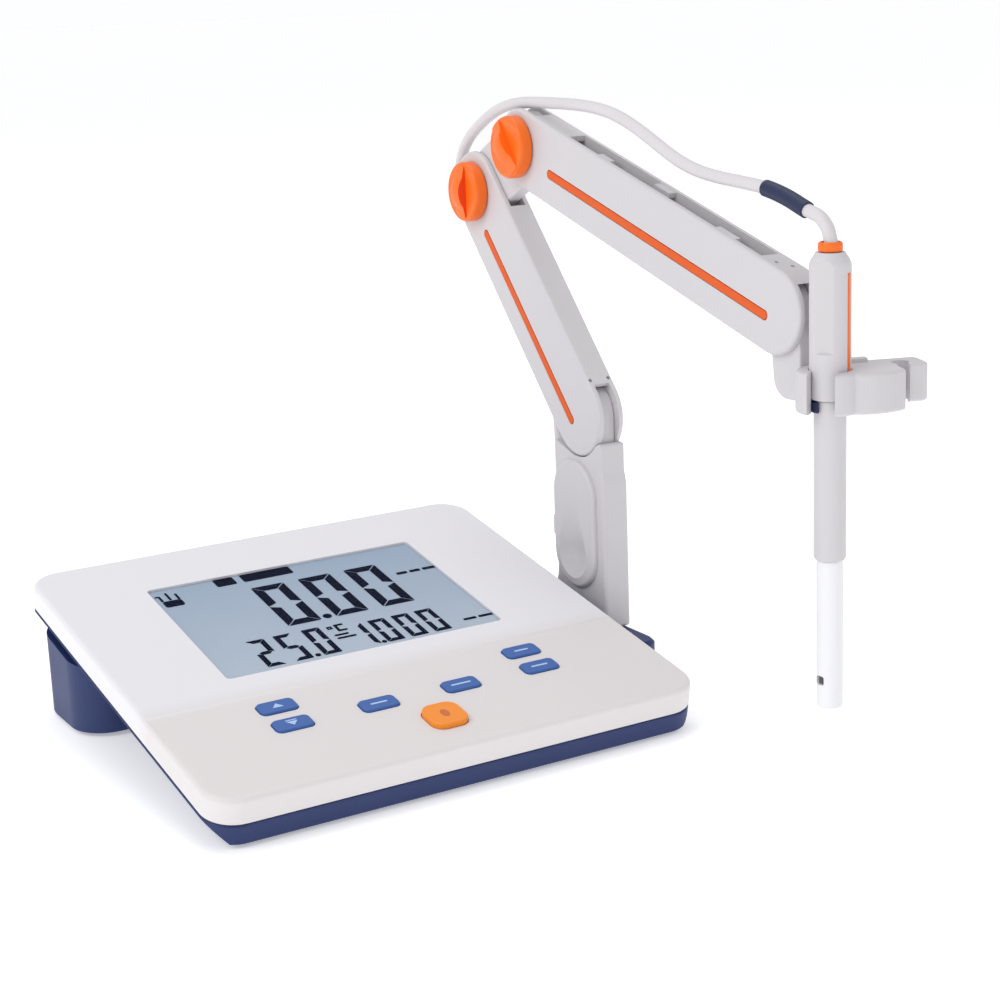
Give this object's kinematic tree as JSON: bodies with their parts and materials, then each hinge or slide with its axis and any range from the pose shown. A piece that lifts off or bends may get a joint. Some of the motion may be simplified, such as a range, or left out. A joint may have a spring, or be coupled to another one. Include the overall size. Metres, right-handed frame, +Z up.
{
  "type": "bench electrochemistry meter",
  "caption": "Bench meter with a sloping display case and a jointed side arm that holds a slim electrode upright over a sample.",
  "frame": {"origin": "on the bench surface, under the middle of the object without its cable", "axes": "+X to the right across the case, towards the arm; +Y from the front edge to the rear panel; +Z up"},
  "size_m": [0.2705, 0.3733, 0.2449],
  "materials": {
    "white_plastic": "fine satin, off-white",
    "blue_plastic": "satin navy blue",
    "key_blue": "satin blue",
    "orange_plastic": "satin orange",
    "grey_plastic": "satin pale warm grey",
    "display_glass": "clear window",
    "display_frame": "pale blue-grey liquid crystal panel",
    "circuit_board": "green board",
    "black_rubber": "matte black",
    "silicone": "grey silicone",
    "steel": "plated steel",
    "black_plastic": "matte black",
    "navy_plastic": "dark navy",
    "cable_grey": "pale grey flexible sheath",
    "platinum": "dark coated metal"
  },
  "bodies": {
    "case": {"top_cover": "white_plastic", "display_window": "display_glass", "display_module": "display_frame", "main_board": "circuit_board", "keypad_mat": "silicone", "bottom_case": "blue_plastic", "case_screw_1": "steel", "case_screw_2": "steel", "case_screw_3": "steel", "case_screw_4": "steel", "foot_front_left": "black_rubber", "foot_front_right": "black_rubber", "foot_rear_left": "black_rubber", "foot_rear_right": "black_rubber", "rear_panel": "black_plastic", "measuring_socket": "steel", "temperature_socket": "black_plastic", "data_port": "steel", "dc_inlet": "black_plastic", "arm_bracket": "blue_plastic", "bracket_screw": "steel", "swivel_spindle": "steel", "lead_swivel": "cable_grey", "cable_coil": "cable_grey", "lead_plug": "cable_grey", "cable_plug": "black_plastic"},
    "post": {"post_column": "grey_plastic", "shoulder_pin": "steel", "lead_shoulder": "cable_grey"},
    "lower_arm": {"lower_arm": "grey_plastic", "lower_arm_stripe": "orange_plastic", "elbow_bolt_lower": "steel", "lead_elbow_lower": "cable_grey"},
    "elbow_link": {"elbow_link": "grey_plastic", "lead_elbow_upper": "cable_grey"},
    "upper_arm": {"upper_arm": "grey_plastic", "upper_arm_stripe": "orange_plastic", "elbow_bolt_upper": "steel", "head_pin": "steel", "lead_head": "cable_grey"},
    "head": {"head_link": "grey_plastic", "electrode_clip": "grey_plastic", "clip_liner": "navy_plastic", "cable_marker": "navy_plastic", "lead_electrode": "cable_grey"},
    "electrode": {"electrode_body": "grey_plastic", "electrode_stripe": "orange_plastic", "electrode_cap": "orange_plastic", "electrode_tube": "grey_plastic", "electrode_guard": "white_plastic", "sensing_cell": "platinum"},
    "knob_lower": {"clamp_knob_lower": "orange_plastic"},
    "knob_upper": {"clamp_knob_upper": "orange_plastic"},
    "key_up": {"key_up": "key_blue"},
    "key_down": {"key_down": "key_blue"},
    "key_set": {"key_set": "key_blue"},
    "key_measure": {"key_measure": "key_blue"},
    "key_calibrate": {"key_calibrate": "key_blue"},
    "key_cancel": {"key_cancel": "key_blue"},
    "key_power": {"key_power": "orange_plastic"}
  },
  "joints": [
    {"name": "post_swivel", "type": "hinge", "parent": "case", "child": "post", "pos_m": [0.0963, 0.0407, 0.02], "axis": [0, 0, 1], "range_deg": [-35, 100], "deforming": ["lead_swivel"]},
    {"name": "shoulder", "type": "hinge", "parent": "post", "child": "lower_arm", "pos_m": [0.0963, 0.0407, 0.109], "axis": [1, 0, 0], "range_deg": [-30, 7], "deforming": ["lead_shoulder"]},
    {"name": "elbow_lower", "type": "hinge", "parent": "lower_arm", "child": "elbow_link", "pos_m": [0.0963, 0.1232, 0.2015], "axis": [-1, 0, 0], "range_deg": [-4, 80], "deforming": ["lead_elbow_lower"]},
    {"name": "elbow_upper", "type": "hinge", "parent": "elbow_link", "child": "upper_arm", "pos_m": [0.0963, 0.0827, 0.2235], "axis": [-1, 0, 0], "range_deg": [-5, 80], "deforming": ["lead_elbow_upper"]},
    {"name": "head_tilt", "type": "hinge", "parent": "upper_arm", "child": "head", "pos_m": [0.0963, -0.0963, 0.1705], "axis": [-1, 0, 0], "range_deg": [-45, 30], "deforming": ["lead_head"]},
    {"name": "electrode_lift", "type": "slide", "parent": "head", "child": "electrode", "axis": [0, 0, 1], "range_m": [0, 0.01], "deforming": ["lead_electrode"]},
    {"name": "knob_lower_turn", "type": "hinge", "parent": "lower_arm", "child": "knob_lower", "pos_m": [0.0963, 0.1232, 0.2015], "axis": [-1, 0, 0], "range_deg": [0, 180]},
    {"name": "knob_upper_turn", "type": "hinge", "parent": "upper_arm", "child": "knob_upper", "pos_m": [0.0963, 0.0827, 0.2235], "axis": [-1, 0, 0], "range_deg": [0, 180]},
    {"name": "key_up_press", "type": "slide", "parent": "case", "child": "key_up", "axis": [0, 0.1822, -0.9833], "range_m": [0, 0.0008], "stiffness_N_per_m": 1500},
    {"name": "key_down_press", "type": "slide", "parent": "case", "child": "key_down", "axis": [0, 0.1822, -0.9833], "range_m": [0, 0.0008], "stiffness_N_per_m": 1500},
    {"name": "key_set_press", "type": "slide", "parent": "case", "child": "key_set", "axis": [0, 0.1822, -0.9833], "range_m": [0, 0.0008], "stiffness_N_per_m": 1500},
    {"name": "key_measure_press", "type": "slide", "parent": "case", "child": "key_measure", "axis": [0, 0.1822, -0.9833], "range_m": [0, 0.0008], "stiffness_N_per_m": 1500},
    {"name": "key_calibrate_press", "type": "slide", "parent": "case", "child": "key_calibrate", "axis": [0, 0.1822, -0.9833], "range_m": [0, 0.0008], "stiffness_N_per_m": 1500},
    {"name": "key_cancel_press", "type": "slide", "parent": "case", "child": "key_cancel", "axis": [0, 0.1822, -0.9833], "range_m": [0, 0.0008], "stiffness_N_per_m": 1500},
    {"name": "key_power_press", "type": "slide", "parent": "case", "child": "key_power", "axis": [0, 0.1822, -0.9833], "range_m": [0, 0.0008], "stiffness_N_per_m": 1500}
  ]
}
